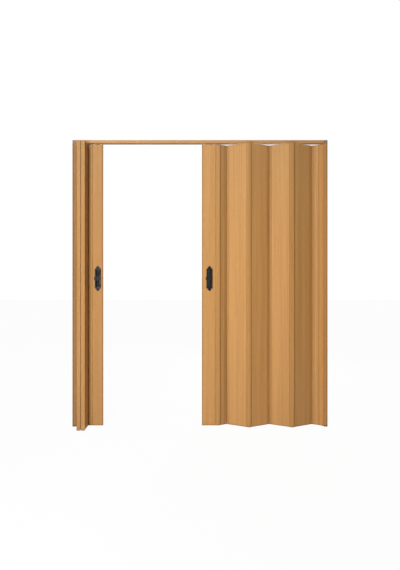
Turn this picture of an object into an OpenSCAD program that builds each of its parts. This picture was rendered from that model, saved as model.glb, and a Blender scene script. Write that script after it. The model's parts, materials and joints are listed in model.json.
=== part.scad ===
// Double accordion door for a doorway: two folding leaves of hollow slats that hang
// from one head track. Millimetres. X runs along the track, the front faces -Y, and the
// origin is the middle of the track's top face, so the whole door lies below Z = 0.

/* [Doorway] */
// Overall width over both jambs
door_w = 1870; // [1800:10:2200]
// Overall height from the jambs' feet to the top of the track
door_h = 2100; // [1900:10:2400]
// Clearance between the slats and the jambs' feet
floor_gap = 5; // [3:1:20]
// Clearance between the track and the slats' upper ends
head_gap = 6; // [5:0.5:12]

/* [Rest pose] */
// Fold angle of the left leaf, 0 flat and 90 fully folded
left_fold = 88.9; // [30:0.1:88.9]
// Fold angle of the right leaf
right_fold = 22.5; // [22.5:0.1:88.9]

/* [Head track] */
// Depth of the track from front to back
track_d = 32; // [30:1:40]
// Height of the track
track_h = 23; // [22:0.5:30]
// Wall of the track
track_wall = 1.8; // [1.4:0.1:2.2]
// Width of the slot that the gliders' stems run in
slot_w = 7; // [6:0.5:9]
// Wall of the two ribs that guide the gliders' heads
rib_wall = 1.2; // [0.8:0.1:1.6]
// Number of fixing holes in the track
track_holes = 4; // [2:2:8]
// Distance of the outer fixing holes from the track's ends
track_hole_in = 128; // [60:1:250]
// Radius of the track's fixing holes
track_hole_r = 2.5; // [2:0.25:3]

/* [Jambs] */
// Width of a jamb, seen from the front
jamb_w = 27; // [24:1:40]
// Depth of a jamb from front to back
jamb_d = 32; // [30:1:40]
// Wall of a jamb
jamb_wall = 1.8; // [1.4:0.1:2.2]
// Number of fixing holes in a jamb
jamb_holes = 4; // [3:1:5]
// Height of the lowest fixing hole above the jamb's foot
jamb_hole_low = 200; // [100:10:300]
// Distance of the highest fixing hole below the door's top
jamb_hole_high = 220; // [100:10:300]
// Radius of a jamb's fixing holes
jamb_hole_r = 2.5; // [2:0.25:3]
// Width of the slot that the screwdriver reaches through
driver_slot = 9; // [7:0.5:9.5]

/* [Corner blocks] */
// Depth of the spigot in the jamb and of the prongs in the track
spigot_l = 26; // [15:1:40]
// Clearance of a plug in its socket, all round
plug_clear = 0.3; // [0.2:0.05:0.5]
// Radius of the small screws under the track
corner_screw_r = 1.6; // [1.2:0.1:1.8]

/* [Slats] */
// Distance between the two bead centres of a whole slat
slat_pitch = 157; // [130:1:180]
// Thickness of a slat
slat_t = 8; // [8:0.5:10]
// Wall of a slat and of its inner webs
slat_wall = 1.2; // [0.8:0.1:1.6]
// Number of hollow cells in a whole slat
slat_cells = 7; // [5:2:9]
// Cell that holds a slat's glider, counted from its rear bead
glider_cell = 3; // [2:1:4]
// Number of hollow cells in a half slat
half_cells = 2; // [1:1:3]

/* [Hinge strips] */
// Width of a hinge strip's cover
strip_w = 28; // [24:1:32]
// Distance between the two beads of a strip
bead_gap = 12.5; // [11:0.5:15]
// Radius of a bead
bead_r = 2; // [1.6:0.1:2.2]
// Running clearance between a bead and its hook
bead_clear = 0.08; // [0.04:0.01:0.1]
// Thickness of the neck between a bead and the cover
neck_t = 1.4; // [1:0.1:1.6]
// Thickness of the cover
cover_t = 1.5; // [1.2:0.1:2]
// Clearance between the cover and the hooks
cover_gap = 2; // [1.5:0.1:3]
// Height of the cover's bulge
cover_bulge = 1; // [0.5:0.1:2]
// Depth of the cover's turned edges
cover_lip = 1.6; // [0.8:0.1:2]

/* [Lead posts] */
// Width of the left leaf's lead post
left_post_w = 72; // [68:1:110]
// Width of the right leaf's lead post
right_post_w = 100; // [88:0.5:110]
// Thickness of a lead post
post_t = 12; // [10:0.5:18]
// Wall of a lead post
post_wall = 1.4; // [1:0.1:2]
// Distance from the strip's fixed bead to the post's side
post_reach = 12; // [10:0.5:20]

/* [Gliders] */
// Radius of a glider's head
glider_r = 6; // [5:0.5:7]
// Thickness of a glider's head
glider_t = 4; // [3:0.5:6]
// Radius of a glider's stem
stem_r = 2.5; // [1.5:0.25:2.75]
// Clearance of a glider's head in the track
glider_clear = 0.4; // [0.3:0.05:0.8]
// Length of a glider's plug
plug_l = 28; // [15:1:40]

/* [Handles] */
// Height of the handles above the jambs' feet
handle_z = 1085; // [900:5:1200]
// Distance of the left handle from its post's meeting edge
left_handle_in = 37; // [34:1:44]
// Distance of the right handle from its post's meeting edge
right_handle_in = 55; // [40:1:60]
// Width of a handle's plate between its ears
plate_w = 44; // [40:1:56]
// Height of a handle's plate over both finials
plate_h = 182; // [160:2:220]
// Thickness of a handle's plate
plate_t = 5; // [3:0.5:7]
// Radius of the round finials at a plate's two ends
finial_r = 10.7; // [9:0.1:12]
// Radius of the four ears at a plate's shoulders
ear_r = 4.9; // [4:0.1:6]
// Width of the raised grip on a plate
grip_w = 24; // [16:1:28]
// Height of the raised grip above its plate
grip_rise = 6; // [4:0.5:8]
// Radius of a handle's through screws
screw_r = 2; // [1.5:0.25:2.5]

/* [Latches] */
// Travel of a latch
bolt_throw = 14; // [10:1:14]
// Thickness of a bolt from front to back
bolt_t = 4; // [3:0.5:5]
// Height of a bolt
bolt_h = 8; // [6:0.5:10]
// Distance of a bolt above or below the handle's centre
bolt_step = 9; // [7:0.5:10]
// Height of a thumb slide
thumb_h = 26; // [20:1:30]
// Length of a thumb slide's tab past the plate's side
thumb_tab = 4; // [2:0.5:6]
// Thickness of a thumb slide
thumb_t = 5; // [4:0.5:7]

/* [Hidden] */
$fn = 48;

// Colours
slat_colour = [0.80, 0.61, 0.38];
strip_colour = [0.73, 0.53, 0.32];
frame_colour = [0.68, 0.50, 0.31];
block_colour = [0.45, 0.41, 0.36];
handle_colour = [0.06, 0.06, 0.07];
nylon_colour = [0.90, 0.89, 0.85];
steel_colour = [0.62, 0.63, 0.65];

// Cutters run this far past the faces that they cut
over = 1;

// Heights
foot_z = -door_h;
slat_top = -track_h - head_gap;
slat_foot = foot_z + floor_gap;
slat_h = slat_top - slat_foot;
lock_z = foot_z + handle_z;

// Hooks and strips: a hook is as thick as its slat, and the cover clears it; the slat's
// flat core begins at this part of a hook's radius
core_part = 0.8;
hook_r = slat_t / 2;
hook_bore = bead_r + bead_clear;
hook_core = core_part * hook_r;
cover_rise = hook_r + cover_gap + cover_t;
cover_arc_r = (strip_w * strip_w / 4 + cover_bulge * cover_bulge) / (2 * cover_bulge);
lip_lap = 0.2;
stem_gap = 0.5;
jamb_reach = strip_w / 2 - bead_gap / 2 + stem_gap;
web_t = 3;

// A strip's middle rib closes the gap between two hooks, clear of both, and stays this
// far below their round backs
rib_clear = 0.75;
rib_low = 0.6;
rib_w = bead_gap - 2 * hook_r - 2 * rib_clear;
rib_top = hook_r - rib_low;

// The opening of a hook, in degrees from the slat's own direction
fold_hook = [84, 201];
fixed_hook = [64, 180];

// Slats inside
function cell_w(length, cells) = (length - 2 * hook_core - (cells + 1) * slat_wall) / cells;
cell_t = slat_t - 2 * slat_wall;

// A slat crosses the track's middle line at its glider, and a half slat ends there
rear_part = hook_core + glider_cell * slat_wall + (glider_cell - 0.5) * cell_w(slat_pitch, slat_cells);
front_part = slat_pitch - rear_part;

// A leaf has this many folds between its jamb and its lead post
folds = 5;

// Distance along the track from one fold to the next
function spacing(fold) = slat_pitch * cos(fold) + bead_gap;

// Where the first turning bead, strip number i and the lead strip's turning bead lie,
// as distances from the middle of the door to the leaf's own side
first_bead = door_w / 2 - jamb_w - jamb_reach - bead_gap;
function strip_x(fold, i) =
  first_bead - rear_part * cos(fold) - bead_gap / 2 - (i - 1) * spacing(fold);
function strip_y(fold, i) = i % 2 == 1 ? rear_part * sin(fold) : -front_part * sin(fold);
function last_bead(fold) = strip_x(fold, folds) - bead_gap / 2 - rear_part * cos(fold);
function post_side(fold) = last_bead(fold) - bead_gap - post_reach;

// Jamb fixing holes lie in the rear half, in line with the screwdriver slot
driver_y = jamb_d / 4;
jamb_hole_pitch = (door_h - jamb_hole_low - jamb_hole_high) / (jamb_holes - 1);

// Track, its holes and its inside
track_l = door_w - 2 * jamb_w;
track_hole_pitch = (track_l - 2 * track_hole_in) / (track_holes - 1);
rib_y = glider_r + glider_clear;
rib_depth = track_h - 2 * track_wall - glider_t;
prong_w = track_d / 2 - track_wall - rib_y - rib_wall - 2 * plug_clear;
prong_h = track_h - 2 * track_wall - 2 * plug_clear;
prong_y = rib_y + rib_wall + plug_clear + prong_w / 2;
corner_screw_l = 12;
corner_screw_in = 14;
tip_gap = 1;

// Lead posts inside: the lock chamber reaches past the handle's centre
chamber_past = 20;
post_cell_t = post_t - 2 * post_wall;
function rest_cell_w(post_w, handle_in) = post_w - handle_in - chamber_past - 2 * post_wall;
lead_glider_in = 14;
lead_glider_w = 16;

// Glider heads ride just above the track's lips
head_z = -track_h + track_wall + glider_clear;
collar_t = 2;
collar_l = 16;

// Screws: a head is this many times as wide as its shank
head_ratio = 1.8;
screw_head_r = head_ratio * screw_r;
screw_head_t = 2;
screw_clear = 0.1;

// Handles: the ears stand a little past the plate's sides, the plate tapers from them to
// its finials, and the grips stop short of them
plate_half = plate_h / 2;
ear_past = 1.5;
finial_rise = 23.5;
grip_gap = 2;
ear_x = plate_w / 2 + ear_past - ear_r;
ear_z = plate_half - finial_rise;
screw_z = plate_half - finial_r;
grip_arc_r = (grip_w * grip_w / 4 + grip_rise * grip_rise) / (2 * grip_rise);
grip_end_z = ear_z - grip_w / 2 - grip_gap;

// Latches inside, and the thumb slide's pad, which stops short of the plate's right side
pad_short = 1;
thumb_clear = 0.3;
thumb_neck = 8;
thumb_slot = 2 * (bolt_throw + thumb_neck / 2 + thumb_clear);
bolt_clear = 0.3;
keeper_clear = 1;
bolt_back = 2;
carrier_w = 16;

module hook_2d(opening) {
  far = 3 * hook_r;
  middle = (opening[0] + opening[1]) / 2;
  difference() {
    circle(hook_r);
    circle(hook_bore);
    polygon([[0, 0], far * [cos(opening[0]), sin(opening[0])],
      far * [cos(middle), sin(middle)], far * [cos(opening[1]), sin(opening[1])]]);
  }
}

// A slat from the bead at the origin to the bead at length along +X
module slat_2d(length, cells) {
  cell = cell_w(length, cells);
  hook_2d(fold_hook);
  translate([length, 0]) rotate(180) hook_2d(fold_hook);
  difference() {
    translate([hook_core, -slat_t / 2]) square([length - 2 * hook_core, slat_t]);
    for (i = [0:cells - 1])
      translate([hook_core + slat_wall + i * (cell + slat_wall), -cell_t / 2])
        square([cell, cell_t]);
  }
}

// A strip with its cover towards -Y, its two beads on the X axis and its rib between them
module strip_2d() {
  half = strip_w / 2;
  for (side = [-1, 1])
    translate([side * bead_gap / 2, 0]) {
      circle(bead_r);
      translate([-neck_t / 2, -cover_rise + cover_t]) square([neck_t, cover_rise - cover_t]);
      translate([-neck_t / 2, -cover_rise + cover_t / 2]) square([neck_t, cover_t]);
    }
  intersection() {
    translate([0, cover_arc_r - cover_rise]) difference() {
      circle(cover_arc_r, $fn = 96);
      circle(cover_arc_r - cover_t, $fn = 96);
    }
    translate([-half, -cover_rise - over]) square([strip_w, cover_bulge + cover_t + 2 * over]);
  }
  for (side = [-1, 1])
    translate([side * (half - cover_t / 2) - cover_t / 2, -cover_rise + cover_bulge + lip_lap])
      square([cover_t, cover_t + cover_lip - lip_lap]);
  translate([-neck_t / 2, -cover_rise + cover_t / 2])
    square([neck_t, rib_top + cover_rise - cover_t]);
  translate([-rib_w / 2, rib_top - neck_t]) square([rib_w, neck_t]);
}

module slat_high() {
  translate([0, 0, slat_foot]) linear_extrude(height = slat_h) children();
}

// Slat number i of a leaf, counted from the jamb; the first and the last are half slats
module slat(fold, i) {
  half = i == 0 || i == folds;
  back = i % 2 == 0 ? 1 : -1;
  bead_x = i == 0 ? first_bead : strip_x(fold, i) - bead_gap / 2;
  bead_y = i == 0 ? 0 : strip_y(fold, i);
  color(slat_colour) translate([bead_x, bead_y, 0])
    rotate([0, 0, 180 - back * fold]) mirror([0, back < 0 ? 1 : 0, 0])
      slat_high() slat_2d(half ? rear_part : slat_pitch, half ? half_cells : slat_cells);
}

// Strip number i of a leaf: the odd ones close the back folds
module hinge_strip(fold, i) {
  color(strip_colour) translate([strip_x(fold, i), strip_y(fold, i), 0])
    mirror([0, i % 2, 0]) slat_high() strip_2d();
}

module fixed_strip(x) {
  color(strip_colour) translate([x, 0, 0]) slat_high() strip_2d();
}

// The hook and web that hold a fixed strip, with the strip's cover towards -Y
module fixed_hook_2d(reach) {
  mirror([0, 1]) hook_2d(fixed_hook);
  translate([hook_core, -web_t / 2]) square([reach - hook_core, web_t]);
}

module jamb_2d() {
  difference() {
    translate([0, -jamb_d / 2]) square([jamb_w, jamb_d]);
    translate([jamb_wall, jamb_wall - jamb_d / 2])
      square([jamb_w - 2 * jamb_wall, jamb_d - 2 * jamb_wall]);
    translate([-over, driver_y - driver_slot / 2]) square([jamb_wall + 2 * over, driver_slot]);
  }
  translate([-jamb_reach, 0]) fixed_hook_2d(jamb_reach + jamb_wall / 2);
}

module jamb() {
  color(frame_colour) translate([door_w / 2 - jamb_w, 0, 0]) difference() {
    translate([0, 0, foot_z]) linear_extrude(height = door_h - track_h) jamb_2d();
    translate([-jamb_reach - hook_r - over, -hook_r - over, slat_top])
      cube([jamb_reach + hook_r + over, 2 * hook_r + 2 * over, head_gap + over]);
    for (i = [0:jamb_holes - 1])
      translate([jamb_w - jamb_wall - over, driver_y, foot_z + jamb_hole_low + i * jamb_hole_pitch])
        rotate([0, 90, 0]) cylinder(r = jamb_hole_r, h = jamb_wall + 2 * over);
  }
}

module head_track() {
  inside_h = track_h - 2 * track_wall;
  color(frame_colour) difference() {
    translate([-track_l / 2, 0, -track_h]) rotate([90, 0, 90]) linear_extrude(height = track_l)
      union() {
        difference() {
          translate([-track_d / 2, 0]) square([track_d, track_h]);
          translate([track_wall - track_d / 2, track_wall])
            square([track_d - 2 * track_wall, inside_h]);
          translate([-slot_w / 2, -over]) square([slot_w, track_wall + 2 * over]);
        }
        for (side = [-1, 1])
          translate([side * (rib_y + rib_wall / 2) - rib_wall / 2, track_h - track_wall - rib_depth])
            square([rib_wall, rib_depth + track_wall / 2]);
      }
    for (i = [0:track_holes - 1])
      translate([(i - (track_holes - 1) / 2) * track_hole_pitch, 0, -track_wall - over])
        cylinder(r = track_hole_r, h = track_wall + 2 * over);
    for (end = [-1, 1], side = [-1, 1])
      translate([end * (track_l / 2 - corner_screw_in), side * prong_y, -track_h - over])
        cylinder(r = corner_screw_r + screw_clear, h = track_wall + 2 * over);
  }
}

// The right corner block: head over the jamb, spigot in the jamb, two prongs in the track
module corner_block() {
  wall = jamb_wall + plug_clear;
  inner_x = door_w / 2 - jamb_w;
  color(block_colour) difference() {
    union() {
      translate([inner_x, -track_d / 2, -track_h]) cube([jamb_w, track_d, track_h]);
      translate([inner_x + wall, wall - jamb_d / 2, -track_h - spigot_l])
        cube([jamb_w - 2 * wall, jamb_d - 2 * wall, spigot_l + over]);
      for (side = [-1, 1])
        translate([inner_x - spigot_l, side * prong_y - prong_w / 2,
          -track_h + track_wall + plug_clear]) cube([spigot_l + over, prong_w, prong_h]);
    }
    for (side = [-1, 1])
      translate([inner_x - corner_screw_in, side * prong_y, -track_h - over])
        cylinder(r = corner_screw_r + screw_clear, h = corner_screw_l + over);
    translate([inner_x + 2 * wall, 2 * wall - jamb_d / 2, -track_h - spigot_l - over])
      cube([jamb_w - 4 * wall, jamb_d - 4 * wall, spigot_l]);
  }
}

module corner_screws() {
  color(steel_colour) for (end = [-1, 1], side = [-1, 1])
    translate([end * (track_l / 2 - corner_screw_in), side * prong_y, -track_h]) {
      cylinder(r = corner_screw_r, h = corner_screw_l - tip_gap);
      translate([0, 0, -screw_head_t]) cylinder(r = head_ratio * corner_screw_r, h = screw_head_t);
    }
}

// A mushroom glider: plug in the hollow cell, collar on the slat's end, head in the track
module glider(x, collar_w, plug_w, plug_t) {
  translate([x, 0, 0]) {
    translate([-plug_w / 2, -plug_t / 2, slat_top - plug_l]) cube([plug_w, plug_t, plug_l + collar_t / 2]);
    translate([-collar_l / 2, -collar_w / 2, slat_top]) cube([collar_l, collar_w, collar_t]);
    translate([0, 0, slat_top]) cylinder(r = stem_r, h = head_z - slat_top + glider_t / 2);
    translate([0, 0, head_z]) cylinder(r = glider_r, h = glider_t);
  }
}

module slat_glider(fold, i) {
  back = i % 2 == 0 ? 1 : -1;
  rear_strip_x = strip_x(fold, back > 0 ? i + 1 : i);
  track_x = rear_strip_x + back * (bead_gap / 2 + rear_part * cos(fold));
  plug_w = cell_w(slat_pitch, slat_cells) - 2 * plug_clear;
  color(nylon_colour) translate([track_x, 0, 0]) rotate([0, 0, -back * fold])
    glider(0, slat_t - 2 * plug_clear, min(plug_w, collar_l), cell_t - 2 * plug_clear);
}

// One glider in the lead post's narrow cell, and one near its meeting edge
module lead_gliders(fold, post_w, handle_in) {
  side_x = post_side(fold);
  rest_w = rest_cell_w(post_w, handle_in);
  narrow_x = side_x - post_wall - rest_w / 2;
  edge_x = side_x - post_w + lead_glider_in;
  color(nylon_colour) {
    glider(narrow_x, post_t - 2 * plug_clear, min(lead_glider_w, rest_w - 2 * plug_clear),
      post_cell_t - 2 * plug_clear);
    glider(edge_x, post_t - 2 * plug_clear, lead_glider_w, post_cell_t - 2 * plug_clear);
  }
}

// The lead post, with the edge's two latch slots: the post's own bolt leaves on the
// step side of the handle's centre, and the other post's bolt enters on the far side
module lead_post(fold, post_w, handle_in, step) {
  side_x = post_side(fold);
  edge_x = side_x - post_w;
  chamber_w = handle_in + chamber_past - post_wall;
  rest_w = rest_cell_w(post_w, handle_in);
  color(slat_colour) difference() {
    slat_high() difference() {
      union() {
        translate([edge_x, -post_t / 2]) square([post_w, post_t]);
        translate([side_x + post_reach, 0]) mirror([1, 0]) fixed_hook_2d(post_reach + post_wall / 2);
      }
      translate([edge_x + post_wall, -post_cell_t / 2]) square([chamber_w, post_cell_t]);
      translate([side_x - post_wall - rest_w, -post_cell_t / 2]) square([rest_w, post_cell_t]);
    }
    translate([edge_x - over, 0, lock_z]) {
      translate([0, -bolt_t / 2 - bolt_clear, step * bolt_step - bolt_h / 2 - bolt_clear])
        cube([post_wall + 2 * over, bolt_t + 2 * bolt_clear, bolt_h + 2 * bolt_clear]);
      translate([0, -bolt_t / 2 - keeper_clear, -step * bolt_step - bolt_h / 2 - keeper_clear / 2])
        cube([post_wall + 2 * over, bolt_t + 2 * keeper_clear, bolt_h + keeper_clear]);
    }
    translate([edge_x + handle_in, 0, lock_z]) {
      for (face = [-1, 1])
        translate([-thumb_slot / 2, face * (post_t / 2 - post_wall / 2) - post_wall / 2 - over,
          -thumb_neck / 2 - thumb_clear])
          cube([thumb_slot, post_wall + 2 * over, thumb_neck + 2 * thumb_clear]);
      for (end = [-1, 1])
        translate([0, post_t / 2 + over, end * screw_z]) rotate([90, 0, 0])
          cylinder(r = screw_r + screw_clear, h = post_t + 2 * over);
    }
  }
}

module plate_outline() {
  square([plate_w, 2 * ear_z], center = true);
  for (end = [-1, 1]) {
    for (side = [-1, 1]) translate([side * ear_x, end * ear_z]) circle(ear_r);
    translate([0, end * ear_z]) square([2 * ear_x, 2 * ear_r], center = true);
    translate([0, end * screw_z]) circle(finial_r);
    polygon([[-ear_x, end * ear_z], [ear_x, end * ear_z], [finial_r, end * screw_z],
      [-finial_r, end * screw_z]]);
  }
}

// A handle plate with its back on the plane Y = 0 and its face towards -Y
module handle_plate() {
  color(handle_colour) difference() {
    union() {
      rotate([90, 0, 0]) linear_extrude(height = plate_t) plate_outline();
      for (end = [-1, 1]) intersection() {
        translate([-plate_w / 2, -plate_t - grip_rise - over, end > 0 ? thumb_h / 2 + over : -plate_half])
          cube([plate_w, grip_rise + plate_t / 2 + over, plate_half - thumb_h / 2 - over]);
        translate([0, grip_arc_r - plate_t - grip_rise, 0]) {
          translate([0, 0, end > 0 ? 0 : -grip_end_z]) cylinder(r = grip_arc_r, h = grip_end_z);
          translate([0, 0, end * grip_end_z]) sphere(r = grip_arc_r);
        }
      }
    }
    translate([-thumb_slot / 2, -plate_t - over, -thumb_neck / 2 - thumb_clear])
      cube([thumb_slot, plate_t + 2 * over, thumb_neck + 2 * thumb_clear]);
    for (end = [-1, 1])
      translate([0, over, end * screw_z]) rotate([90, 0, 0])
        cylinder(r = screw_r + screw_clear, h = plate_t + 2 * over);
  }
}

// A thumb slide over a plate's middle: pad, tab past the plate's left side, and a neck
// that reaches through the plate and the post's wall to the bolt's carrier
module thumb_slide() {
  pad_l = plate_w + thumb_tab - pad_short;
  tab_x = -plate_w / 2 - thumb_tab;
  neck_l = post_t / 2 - bolt_t / 2 + plate_t + thumb_clear;
  color(handle_colour) union() {
    translate([tab_x, -plate_t - thumb_clear - thumb_t, -thumb_h / 2])
      cube([pad_l, thumb_t, thumb_h]);
    translate([-thumb_neck / 2, -plate_t - thumb_clear - over, -thumb_neck / 2])
      cube([thumb_neck, neck_l + over, thumb_neck]);
  }
}

// The bolt and its carrier, with the bolt's tip towards -X
module latch_bolt(handle_in, step) {
  tip = handle_in - bolt_back;
  color(steel_colour) translate([0, -bolt_t / 2, 0]) union() {
    translate([-carrier_w / 2, 0, -bolt_step - bolt_h / 2])
      cube([carrier_w, bolt_t, 2 * bolt_step + bolt_h]);
    translate([-tip, 0, step * bolt_step - bolt_h / 2]) cube([tip, bolt_t, bolt_h]);
  }
}

module handle_screws(x) {
  long = post_t + 2 * plate_t;
  color(handle_colour) for (end = [-1, 1])
    translate([x, long / 2, lock_z + end * screw_z]) rotate([90, 0, 0]) {
      cylinder(r = screw_r, h = long);
      for (z = [-screw_head_t, long]) translate([0, 0, z]) cylinder(r = screw_head_r, h = screw_head_t);
    }
}

module on_left() {
  mirror([1, 0, 0]) children();
}

left_handle_x = -(post_side(left_fold) - left_post_w + left_handle_in);
right_handle_x = post_side(right_fold) - right_post_w + right_handle_in;

module at_front(x) {
  translate([x, -post_t / 2, lock_z]) children();
}

module at_back(x) {
  translate([x, post_t / 2, lock_z]) rotate([0, 0, 180]) children();
}

head_track();
on_left() corner_block();  // corner_block_left
corner_block();  // corner_block_right
corner_screws();
on_left() jamb();  // jamb_left
jamb();  // jamb_right
on_left() fixed_strip(first_bead + bead_gap / 2);  // jamb_strip_left
fixed_strip(first_bead + bead_gap / 2);  // jamb_strip_right
on_left() slat(left_fold, 0);  // left_half_slat_a
on_left() slat(left_fold, 1);  // left_slat_1
on_left() slat(left_fold, 2);  // left_slat_2
on_left() slat(left_fold, 3);  // left_slat_3
on_left() slat(left_fold, 4);  // left_slat_4
on_left() slat(left_fold, 5);  // left_half_slat_b
on_left() hinge_strip(left_fold, 1);  // left_hinge_strip_1
on_left() hinge_strip(left_fold, 2);  // left_hinge_strip_2
on_left() hinge_strip(left_fold, 3);  // left_hinge_strip_3
on_left() hinge_strip(left_fold, 4);  // left_hinge_strip_4
on_left() hinge_strip(left_fold, 5);  // left_hinge_strip_5
on_left() fixed_strip(last_bead(left_fold) - bead_gap / 2);  // left_lead_strip
on_left() lead_post(left_fold, left_post_w, left_handle_in, -1);  // left_lead_post
on_left() slat_glider(left_fold, 1);  // left_glider_1
on_left() slat_glider(left_fold, 2);  // left_glider_2
on_left() slat_glider(left_fold, 3);  // left_glider_3
on_left() slat_glider(left_fold, 4);  // left_glider_4
on_left() lead_gliders(left_fold, left_post_w, left_handle_in);  // left_lead_gliders
at_front(left_handle_x) handle_plate();  // left_handle_front
at_back(left_handle_x) handle_plate();  // left_handle_back
handle_screws(left_handle_x);  // left_handle_screws
at_front(left_handle_x) thumb_slide();  // left_thumb_slide_front
at_back(left_handle_x) thumb_slide();  // left_thumb_slide_back
translate([left_handle_x, 0, lock_z]) on_left() latch_bolt(left_handle_in, -1);  // left_latch_bolt
slat(right_fold, 0);  // right_half_slat_a
slat(right_fold, 1);  // right_slat_1
slat(right_fold, 2);  // right_slat_2
slat(right_fold, 3);  // right_slat_3
slat(right_fold, 4);  // right_slat_4
slat(right_fold, 5);  // right_half_slat_b
hinge_strip(right_fold, 1);  // right_hinge_strip_1
hinge_strip(right_fold, 2);  // right_hinge_strip_2
hinge_strip(right_fold, 3);  // right_hinge_strip_3
hinge_strip(right_fold, 4);  // right_hinge_strip_4
hinge_strip(right_fold, 5);  // right_hinge_strip_5
fixed_strip(last_bead(right_fold) - bead_gap / 2);  // right_lead_strip
lead_post(right_fold, right_post_w, right_handle_in, 1);  // right_lead_post
slat_glider(right_fold, 1);  // right_glider_1
slat_glider(right_fold, 2);  // right_glider_2
slat_glider(right_fold, 3);  // right_glider_3
slat_glider(right_fold, 4);  // right_glider_4
lead_gliders(right_fold, right_post_w, right_handle_in);  // right_lead_gliders
at_front(right_handle_x) handle_plate();  // right_handle_front
at_back(right_handle_x) handle_plate();  // right_handle_back
handle_screws(right_handle_x);  // right_handle_screws
at_front(right_handle_x) thumb_slide();  // right_thumb_slide_front
at_back(right_handle_x) thumb_slide();  // right_thumb_slide_back
translate([right_handle_x, 0, lock_z]) latch_bolt(right_handle_in, 1);  // right_latch_bolt
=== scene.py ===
# %% [markdown]
# # Dressing a folding door
#
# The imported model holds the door's construction: slats, hinge strips, posts, track, jambs and handles, each
# in its place. This script gives every piece its finish. It is written for a reader who is learning Blender:
# each step first says what the piece is on the real door, how it could be made, and why this way was chosen.
# Lengths are in metres, X runs along the track, the front faces -Y, and Z = 0 is the top of the track.

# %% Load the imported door
import json
import math

import bpy
from mathutils import Matrix, Vector


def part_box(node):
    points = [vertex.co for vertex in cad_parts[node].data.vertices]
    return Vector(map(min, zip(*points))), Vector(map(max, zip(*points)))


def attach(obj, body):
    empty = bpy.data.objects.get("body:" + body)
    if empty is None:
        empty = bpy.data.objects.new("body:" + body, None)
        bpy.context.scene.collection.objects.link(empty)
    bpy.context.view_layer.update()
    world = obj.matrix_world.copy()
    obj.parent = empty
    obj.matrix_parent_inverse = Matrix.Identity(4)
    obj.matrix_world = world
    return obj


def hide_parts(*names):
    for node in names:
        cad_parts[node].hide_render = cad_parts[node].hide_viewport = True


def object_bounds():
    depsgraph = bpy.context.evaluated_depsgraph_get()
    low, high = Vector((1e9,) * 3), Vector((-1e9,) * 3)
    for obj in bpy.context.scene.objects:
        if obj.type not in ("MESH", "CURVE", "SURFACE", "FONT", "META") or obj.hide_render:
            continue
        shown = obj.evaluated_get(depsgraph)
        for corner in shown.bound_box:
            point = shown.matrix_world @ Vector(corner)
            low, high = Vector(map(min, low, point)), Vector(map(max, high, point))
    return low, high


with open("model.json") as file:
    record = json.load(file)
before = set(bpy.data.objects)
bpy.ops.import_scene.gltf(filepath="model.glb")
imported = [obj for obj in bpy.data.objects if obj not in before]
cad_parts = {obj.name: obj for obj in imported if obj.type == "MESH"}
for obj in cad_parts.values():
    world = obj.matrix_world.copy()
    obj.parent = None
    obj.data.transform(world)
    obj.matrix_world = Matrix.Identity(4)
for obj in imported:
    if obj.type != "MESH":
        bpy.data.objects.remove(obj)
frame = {"nodes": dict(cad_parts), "record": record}
cad_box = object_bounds()
bodies = frame["record"]["behaviour"]["bodies"]
node_body = {node: body for body, nodes in bodies.items() for node in nodes}
node_slot = {part["node"]: part["material_slot"] for part in frame["record"]["subparts"]}
print("nodes", len(frame["nodes"]), "box", [tuple(round(c, 4) for c in corner) for corner in cad_box])

# %% [markdown]
# ## Camera
#
# The photograph looks straight at the middle of the doorway from about three metres, level with a point a
# little above half height, so the door's upright edges stay upright. A camera could be tilted to take in the
# whole door, but a tilt would make the jambs lean, so it looks level and a small shift sets the frame.

# %% Camera at the photograph's place
EYE = Vector((0.0, -3.006, -0.989))
LENS_MM = 25.76
SENSOR_MM = 36.0
FRAME_ROWS = 570
SHIFT_ROWS = -10

camera_data = bpy.data.cameras.new("camera")
camera_data.lens = LENS_MM
camera_data.sensor_width = SENSOR_MM
camera_data.shift_y = SHIFT_ROWS / FRAME_ROWS
camera = bpy.data.objects.new("camera", camera_data)
camera.location = EYE
camera.rotation_euler = (math.radians(90), 0, 0)
bpy.context.scene.collection.objects.link(camera)
bpy.context.scene.camera = camera
bpy.context.scene.view_settings.view_transform = "Standard"
print("camera", tuple(EYE), "lens", LENS_MM)

# %% [markdown]
# ## Shader sums as plain expressions
#
# A finish is a web of nodes. Wiring each Math node by hand hides what it works out, so a small class wraps a
# socket and lets it be added, multiplied or subtracted as a number would be. Every other node comes from one
# method, which takes the node's type, its settings and what goes into its sockets.

# %% A socket that can be used in sums
class Value:
    def __init__(self, web, socket):
        self.web = web
        self.socket = socket

    def math(self, operation, *terms):
        return self.web.node("ShaderNodeMath", {"operation": operation}, dict(enumerate(terms)))

    def __add__(self, other):
        return self.math("ADD", self, other)

    def __sub__(self, other):
        return self.math("SUBTRACT", self, other)

    def __rsub__(self, other):
        return self.math("SUBTRACT", other, self)

    def __mul__(self, other):
        return self.math("MULTIPLY", self, other)

    __radd__ = __add__
    __rmul__ = __mul__

    def above(self, edge):
        return self.math("GREATER_THAN", self, edge)

    def power(self, exponent):
        return self.math("POWER", self, exponent)

    def ramp(self, start, end):
        """0 at start and 1 at end, held at 0 and 1 outside them."""
        share = (self - start) * (1 / (end - start))
        return self.math("MINIMUM", self.math("MAXIMUM", share, 0.0), 1.0)


print("a Value adds, subtracts and multiplies")


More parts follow.
